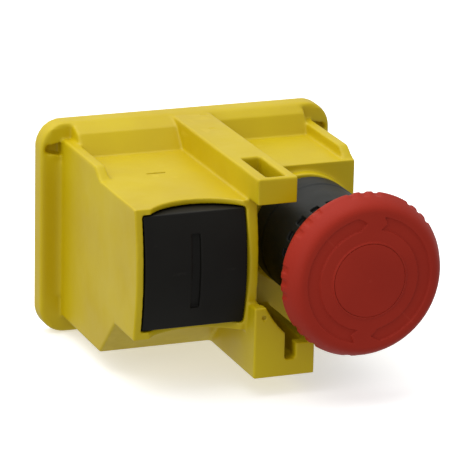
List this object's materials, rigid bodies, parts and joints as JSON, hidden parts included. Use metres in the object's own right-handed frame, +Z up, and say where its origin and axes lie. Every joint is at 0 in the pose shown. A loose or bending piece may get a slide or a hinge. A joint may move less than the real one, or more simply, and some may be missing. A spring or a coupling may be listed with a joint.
{
  "type": "start and emergency stop switch",
  "caption": "Panel-mounted switch head in a yellow moulded housing, with a black start button and a red push-in, twist-to-release mushroom button on a black collar.",
  "frame": {"origin": "centre of the flat back, on the face that lies against the machine's panel", "axes": "+X to the operator's right, the buttons face -Y, +Z up"},
  "size_m": [0.0763, 0.0779, 0.0538],
  "materials": {
    "yellow_housing": "satin moulded yellow",
    "black_plastic": "fine-textured black",
    "collar_plastic": "satin black",
    "red_cap": "satin red",
    "rubber": "matt rubber",
    "white_plastic": "natural nylon",
    "steel": "zinc-plated steel",
    "spring_steel": "drawn spring wire",
    "iron_core": "laminated iron",
    "brass": "stamped brass",
    "copper": "copper"
  },
  "bodies": {
    "frame": {"housing": "yellow_housing", "rear_gasket": "rubber", "cable_grommet": "rubber", "plunger_seal": "rubber", "collar_seal": "rubber", "stem_seal": "rubber", "switch_base": "black_plastic", "button_guide": "black_plastic", "collar": "collar_plastic", "collar_nut": "collar_plastic", "coil_bobbin": "white_plastic", "base_screw_1": "steel", "base_screw_2": "steel", "base_screw_3": "steel", "base_screw_4": "steel", "start_terminal_screw_1": "steel", "start_terminal_screw_2": "steel", "start_terminal_screw_3": "steel", "start_terminal_screw_4": "steel", "stop_terminal_screw_1": "steel", "stop_terminal_screw_2": "steel", "start_spring": "spring_steel", "carrier_spring": "spring_steel", "stop_spring": "spring_steel", "stop_carrier_spring": "spring_steel", "magnet_core": "iron_core", "start_fixed_contact_1": "brass", "start_fixed_contact_2": "brass", "start_fixed_contact_3": "brass", "start_fixed_contact_4": "brass", "stop_fixed_contact_1": "brass", "stop_fixed_contact_2": "brass", "coil_winding": "copper"},
    "start_push": {"start_button": "black_plastic", "start_plunger": "white_plastic"},
    "start_contacts": {"start_contact_carrier": "white_plastic", "armature": "iron_core", "start_contact_bridge_1": "copper", "start_contact_bridge_2": "copper"},
    "stop_slider": {"stop_stem": "white_plastic", "stem_circlip": "steel", "cap_screw": "steel"},
    "stop_cap": {"mushroom_cap": "red_cap", "cap_centre_disc": "red_cap", "latch_ring": "white_plastic", "twist_spring": "spring_steel"},
    "stop_contacts": {"stop_contact_carrier": "white_plastic", "stop_contact_bridge": "copper"}
  },
  "joints": [
    {"name": "start_press", "type": "slide", "parent": "frame", "child": "start_push", "axis": [0, 1, 0], "range_m": [0, 0.0035], "stiffness_N_per_m": 400, "springref_m": -0.003, "deforming": ["start_spring"]},
    {"name": "start_contact_travel", "type": "slide", "parent": "frame", "child": "start_contacts", "axis": [0, 1, 0], "range_m": [0, 0.0022], "deforming": ["carrier_spring"]},
    {"name": "stop_press", "type": "slide", "parent": "frame", "child": "stop_slider", "axis": [0, 1, 0], "range_m": [0, 0.005], "deforming": ["stop_spring"]},
    {"name": "stop_twist", "type": "hinge", "parent": "stop_slider", "child": "stop_cap", "pos_m": [0.0184, -0.07, 0.0043], "axis": [0, 1, 0], "range_deg": [0, 35], "stiffness_Nm_per_rad": 0.05, "springref_deg": -11.46, "deforming": ["twist_spring"]},
    {"name": "stop_contact_travel", "type": "slide", "parent": "frame", "child": "stop_contacts", "axis": [0, 1, 0], "range_m": [0, 0.005], "deforming": ["stop_carrier_spring"]}
  ],
  "couplings": [
    {"joint": "start_contact_travel", "follows": "start_press", "ratio": 0.6285},
    {"joint": "stop_contact_travel", "follows": "stop_press", "ratio": 1}
  ]
}
